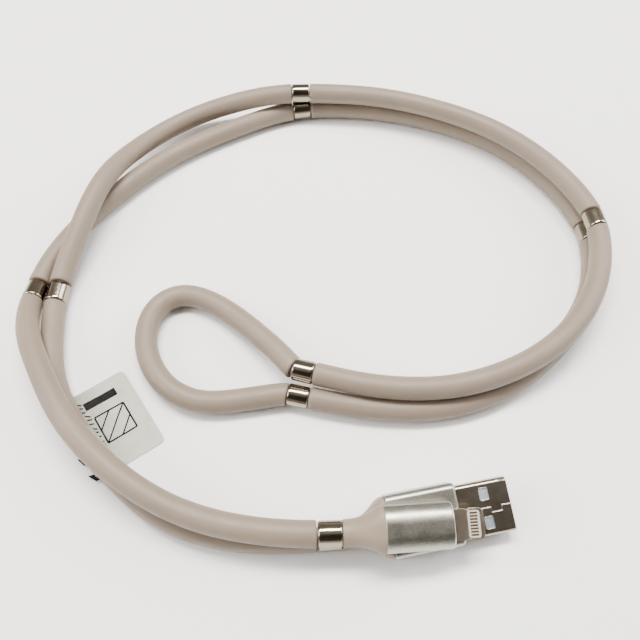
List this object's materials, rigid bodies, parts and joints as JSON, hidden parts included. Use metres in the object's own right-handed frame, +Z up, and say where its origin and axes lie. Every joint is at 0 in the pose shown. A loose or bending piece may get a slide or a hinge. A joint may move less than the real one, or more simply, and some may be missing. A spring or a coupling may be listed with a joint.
{
  "type": "charging cable",
  "caption": "Self-winding charging cable with a USB-A plug and a flat contact-tab plug: silicone sleeves and ring magnets threaded on a thin inner cable, with a wrap-round tag.",
  "frame": {"origin": "On the surface the cable lies on, straight below the middle of the USB plug's housing", "axes": "+X along the USB plug, out of its mouth; +Y to the left of the USB plug seen from above; +Z up"},
  "size_m": [0.162, 0.1473, 0.015],
  "materials": {
    "satin_aluminium": "satin",
    "plated_steel": "satin",
    "brown_steel": "satin",
    "magnet_plating": "polished",
    "silicone": "matte",
    "cable_jacket": "matte",
    "white_plastic": "matte",
    "blue_grey_plastic": "satin",
    "black_plastic": "matte",
    "gold_contact": "polished",
    "green_board": "gloss",
    "wire_red": "gloss",
    "wire_white": "gloss",
    "wire_green": "gloss",
    "wire_black": "gloss",
    "tag_film": "gloss"
  },
  "bodies": {
    "cable": {"inner_cable": "cable_jacket", "usb_sleeve_1": "silicone", "usb_sleeve_2": "silicone", "usb_sleeve_3": "silicone", "usb_sleeve_4": "silicone", "loop_sleeve": "silicone", "tab_sleeve_4": "silicone", "tab_sleeve_3": "silicone", "tab_sleeve_2": "silicone", "tab_sleeve_1": "silicone", "usb_magnet_1": "magnet_plating", "usb_magnet_2": "magnet_plating", "usb_magnet_3": "magnet_plating", "usb_magnet_4": "magnet_plating", "usb_magnet_5": "magnet_plating", "tab_magnet_5": "magnet_plating", "tab_magnet_4": "magnet_plating", "tab_magnet_3": "magnet_plating", "tab_magnet_2": "magnet_plating", "tab_magnet_1": "magnet_plating", "cable_tag": "tag_film"},
    "usb_plug": {"usb_housing": "satin_aluminium", "usb_boot": "silicone", "usb_inner_mould": "white_plastic", "usb_shell": "plated_steel", "usb_insulator": "blue_grey_plastic", "usb_contacts": "gold_contact", "usb_wire_red": "wire_red", "usb_wire_white": "wire_white", "usb_wire_green": "wire_green", "usb_wire_black": "wire_black", "usb_cable_end": "cable_jacket"},
    "tab_plug": {"tab_housing": "satin_aluminium", "tab_boot": "silicone", "tab_inner_mould": "white_plastic", "tab_frame": "brown_steel", "tab_contact_block": "white_plastic", "tab_contacts": "gold_contact", "tab_circuit_board": "green_board", "tab_chip": "black_plastic", "tab_wire_red": "wire_red", "tab_wire_white": "wire_white", "tab_wire_green": "wire_green", "tab_wire_black": "wire_black", "tab_cable_end": "cable_jacket"}
  },
  "joints": [
    {"name": "usb_neck_bend", "type": "hinge", "parent": "cable", "child": "usb_plug", "pos_m": [-0.01545, -0.00014, 0.00295], "axis": [0, 0, 1], "range_deg": [0, 20]},
    {"name": "tab_neck_bend", "type": "hinge", "parent": "cable", "child": "tab_plug", "pos_m": [-0.01561, -0.00085, 0.00882], "axis": [-0.1219, -0.944, -0.3067], "range_deg": [0, 35]}
  ]
}
